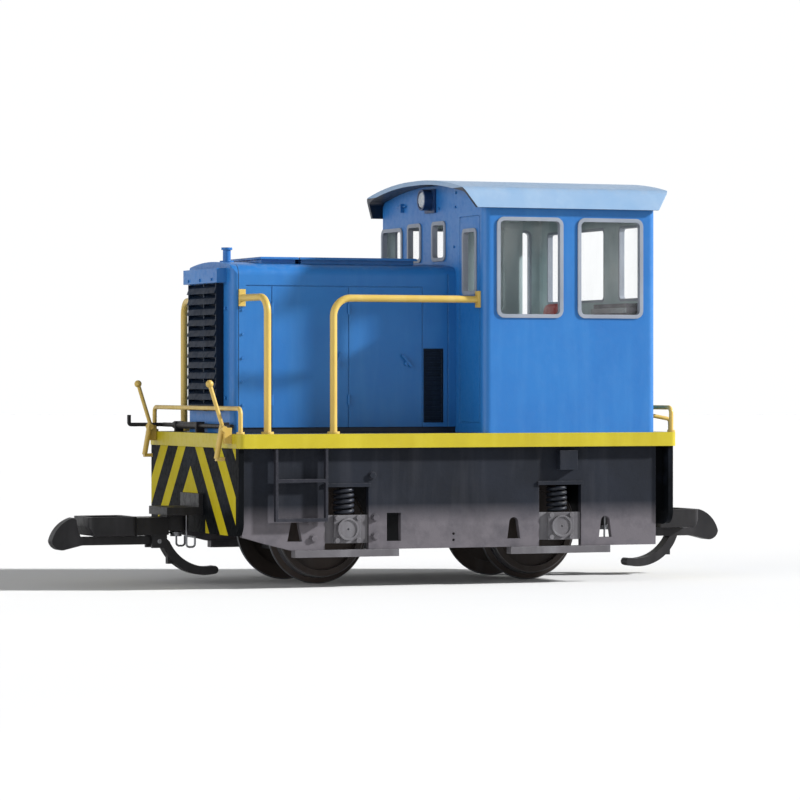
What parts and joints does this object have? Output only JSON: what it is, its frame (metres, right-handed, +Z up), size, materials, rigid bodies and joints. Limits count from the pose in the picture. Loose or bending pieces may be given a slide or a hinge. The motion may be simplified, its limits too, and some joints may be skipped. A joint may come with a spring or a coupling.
{
  "type": "model diesel locomotive",
  "caption": "Large-scale model of a small industrial diesel locomotive with a low hood, square cab, hook-and-loop couplers and worm-driven wheels.",
  "frame": {"origin": "under the middle of the length over couplers, on the centreline, at the wheel-flange bottoms", "axes": "+X towards the hood end, +Y to the locomotive's left, +Z up"},
  "size_m": [0.33, 0.1308, 0.1837],
  "materials": {
    "axlebox_grey": "weathered grey",
    "blue_black": "dark blue paint in shade",
    "blue_body": "satin blue paint",
    "blue_roof": "satin blue paint",
    "board_green": "green circuit board",
    "bronze": "sintered bronze",
    "cab_interior": "pale green-grey",
    "clear": "clear glazing",
    "coupler_black": "black moulded plastic",
    "deck_yellow": "satin yellow paint",
    "frame_grey": "matt blue-grey",
    "gasket_grey": "pale grey rubber",
    "gear_plastic": "natural nylon",
    "gearbox_plastic": "black moulded plastic",
    "hazard": "black with yellow diagonal stripes",
    "led_white": "translucent lamp",
    "lens": "clear lens",
    "rail_yellow": "warm yellow paint",
    "seat_red": "dark red vinyl",
    "spring_dark": "dark steel",
    "steel": "bright steel",
    "step_grey": "grey paint",
    "tyre_rubber": "black rubber",
    "wheel_steel": "turned and darkened"
  },
  "bodies": {
    "chassis": {"assembly_screws": "steel", "axle_bushes": "bronze", "axlebox_covers": "axlebox_grey", "axleboxes": "axlebox_grey", "ballast_weight": "steel", "body_fittings": "blue_body", "cab_floor": "cab_interior", "cab_roof": "blue_roof", "cab_shell": "blue_body", "centring_springs": "steel", "circuit_board": "board_green", "control_console": "cab_interior", "coupler_mounts": "coupler_black", "cut_levers": "rail_yellow", "driver_seat": "seat_red", "end_rails": "rail_yellow", "exhaust_stack": "blue_body", "frame_bolts": "axlebox_grey", "front_pilot": "hazard", "gearbox_cover": "gearbox_plastic", "gearbox_housing": "gearbox_plastic", "headlight_housings": "blue_body", "headlight_leds": "led_white", "headlight_lenses": "lens", "hood_grab_rails": "rail_yellow", "hood_grilles": "blue_black", "hood_hatches": "blue_body", "hood_shell": "blue_body", "keeper_bars": "frame_grey", "ladders": "step_grey", "left_side_frame": "frame_grey", "motor": "steel", "radiator_louvers": "blue_black", "radiator_shell": "blue_body", "radiator_shroud": "blue_body", "rear_pilot": "hazard", "right_side_frame": "frame_grey", "side_boxes": "frame_grey", "suspension_springs": "spring_dark", "uncoupling_rods": "coupler_black", "walkway_deck": "deck_yellow", "walkway_rails": "rail_yellow", "wheel_pickups": "bronze", "window_gaskets": "gasket_grey", "window_panes": "clear"},
    "front_wheelset": {"front_wheels": "wheel_steel", "front_axle": "steel", "front_axle_gear": "gear_plastic"},
    "rear_wheelset": {"rear_wheels": "wheel_steel", "rear_axle": "steel", "rear_axle_gear": "gear_plastic", "rear_traction_tyre": "tyre_rubber"},
    "drive_shaft": {"motor_shaft": "steel", "worms": "bronze"},
    "front_coupler": {"front_drawbar": "coupler_black", "front_hook_pin": "steel"},
    "front_hook": {"front_coupler_hook": "coupler_black"},
    "rear_coupler": {"rear_drawbar": "coupler_black", "rear_hook_pin": "steel"},
    "rear_hook": {"rear_coupler_hook": "coupler_black"}
  },
  "joints": [
    {"name": "front_wheelset_spin", "type": "hinge", "parent": "chassis", "child": "front_wheelset", "pos_m": [0.046, 0, 0.024], "axis": [0, 1, 0], "continuous": true},
    {"name": "rear_wheelset_spin", "type": "hinge", "parent": "chassis", "child": "rear_wheelset", "pos_m": [-0.0575, 0, 0.024], "axis": [0, 1, 0], "continuous": true},
    {"name": "drive_shaft_spin", "type": "hinge", "parent": "chassis", "child": "drive_shaft", "pos_m": [0, 0, 0.036], "axis": [1, 0, 0], "continuous": true},
    {"name": "front_coupler_swing", "type": "hinge", "parent": "chassis", "child": "front_coupler", "pos_m": [0.106, 0, 0.027], "axis": [0, 0, 1], "range_deg": [-15, 15], "stiffness_Nm_per_rad": 0.01},
    {"name": "rear_coupler_swing", "type": "hinge", "parent": "chassis", "child": "rear_coupler", "pos_m": [-0.106, 0, 0.027], "axis": [0, 0, 1], "range_deg": [-15, 15], "stiffness_Nm_per_rad": 0.01},
    {"name": "front_hook_tilt", "type": "hinge", "parent": "front_coupler", "child": "front_hook", "pos_m": [0.1155, 0, 0.0196], "axis": [0, 1, 0], "range_deg": [0, 8], "stiffness_Nm_per_rad": 0.006, "springref_deg": -17.19},
    {"name": "rear_hook_tilt", "type": "hinge", "parent": "rear_coupler", "child": "rear_hook", "pos_m": [-0.1155, 0, 0.0196], "axis": [0, -1, 0], "range_deg": [0, 8], "stiffness_Nm_per_rad": 0.006, "springref_deg": -17.19}
  ],
  "couplings": [
    {"joint": "rear_wheelset_spin", "follows": "front_wheelset_spin", "ratio": 1},
    {"joint": "drive_shaft_spin", "follows": "front_wheelset_spin", "ratio": -20}
  ]
}
